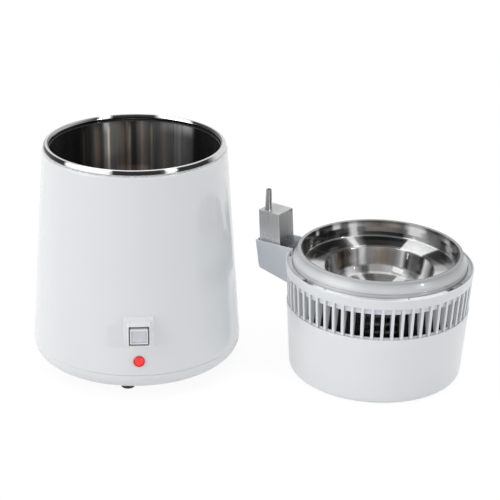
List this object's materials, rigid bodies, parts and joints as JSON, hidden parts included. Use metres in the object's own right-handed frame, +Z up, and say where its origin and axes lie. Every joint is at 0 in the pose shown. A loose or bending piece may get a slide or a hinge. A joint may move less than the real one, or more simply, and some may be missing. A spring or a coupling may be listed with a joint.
{
  "type": "water distiller",
  "caption": "Countertop water distiller: tapered white boiler with a steel pot, and its fan-cooled condenser head standing upside down beside it.",
  "frame": {"origin": "middle of the whole set's footprint on the bench, boiler feet and upturned head both standing on z = 0", "axes": "+X from the boiler towards the head, +Y away from the switch, +Z up"},
  "size_m": [0.4686, 0.2575, 0.2461],
  "materials": {
    "white_paint": "gloss enamel",
    "white_base": "gloss",
    "black_rubber": "matt",
    "zinc_steel": "zinc plated",
    "pot_steel": "polished",
    "rim_steel": "polished",
    "cast_aluminium": "as cast",
    "heater_steel": "heat tinted",
    "galvanised": "galvanised",
    "black_bakelite": "satin",
    "ceramic": "matt",
    "brass_parts": "turned",
    "white_switch": "gloss",
    "button_face": "satin",
    "red_lens": "glossy",
    "red_bezel": "glossy",
    "black_plastic": "fine texture",
    "white_cover": "gloss",
    "white_vents": "satin",
    "white_arm": "gloss",
    "white_carrier": "satin",
    "dish_steel": "polished",
    "silicone": "translucent, satin",
    "coil_steel": "drawn",
    "fin_aluminium": "black coated",
    "motor_steel": "laminated",
    "motor_coil": "taped",
    "black_fan": "satin",
    "cup_steel": "brushed",
    "charcoal": "woven bag"
  },
  "bodies": {
    "boiler": {"outer_shell": "white_paint", "base_pan": "white_base", "rubber_feet": "black_rubber", "foot_screws": "zinc_steel", "foot_nuts": "zinc_steel", "base_screws": "zinc_steel", "boiling_pot": "pot_steel", "rim_bead": "rim_steel", "heater_plate": "cast_aluminium", "heater_tube": "heater_steel", "pot_stud": "zinc_steel", "heater_clamp": "galvanised", "clamp_nut": "zinc_steel", "boil_dry_thermostat": "black_bakelite", "overheat_thermostat": "black_bakelite", "heat_shield": "galvanised", "terminal_block": "ceramic", "terminal_screws": "brass_parts", "switch_frame": "white_switch", "switch_body": "black_bakelite", "lamp_lens": "red_lens", "lamp_bezel": "red_bezel", "lamp_nut": "black_bakelite", "mains_inlet": "black_plastic", "inlet_pins": "brass_parts", "inlet_screws": "zinc_steel", "fan_socket": "black_plastic"},
    "button": {"switch_button": "white_switch", "button_window": "button_face"},
    "head": {"head_cover": "white_cover", "fan_inlet": "black_plastic", "fan_inlet_pins": "brass_parts", "vent_ring": "white_vents", "cover_screws": "zinc_steel", "outlet_arm": "white_arm", "arm_screws": "zinc_steel", "dish_carrier": "white_carrier", "condenser_dish": "dish_steel", "silicone_gasket": "silicone", "condenser_coil": "coil_steel", "steam_tube": "coil_steel", "condenser_fins": "fin_aluminium", "motor_core": "motor_steel", "motor_winding": "motor_coil", "motor_bracket": "galvanised", "bracket_screws": "zinc_steel", "motor_top_bearing": "galvanised"},
    "fan": {"fan_blades": "black_fan", "fan_shaft": "zinc_steel", "motor_rotor": "motor_steel"},
    "cup": {"nozzle_cup": "cup_steel", "nozzle_tube": "cup_steel", "charcoal_pod": "charcoal"}
  },
  "joints": [
    {"name": "head_turn", "type": "hinge", "parent": "boiler", "child": "head", "pos_m": [0.00618, -0.0071, 0.18879], "axis": [-0.1628, -0.9867, 0], "range_deg": [0, 180]},
    {"name": "fan_spin", "type": "hinge", "parent": "head", "child": "fan", "pos_m": [0.13463, -0.0283, 0.03], "axis": [0, 0, 1], "continuous": true},
    {"name": "switch_push", "type": "slide", "parent": "boiler", "child": "button", "axis": [0, 0.9973, -0.0737], "range_m": [0, 0.003], "stiffness_N_per_m": 500, "springref_m": -0.0015},
    {"name": "cup_slide", "type": "slide", "parent": "head", "child": "cup", "axis": [0, 0, 1], "range_m": [0, 0.06]}
  ]
}
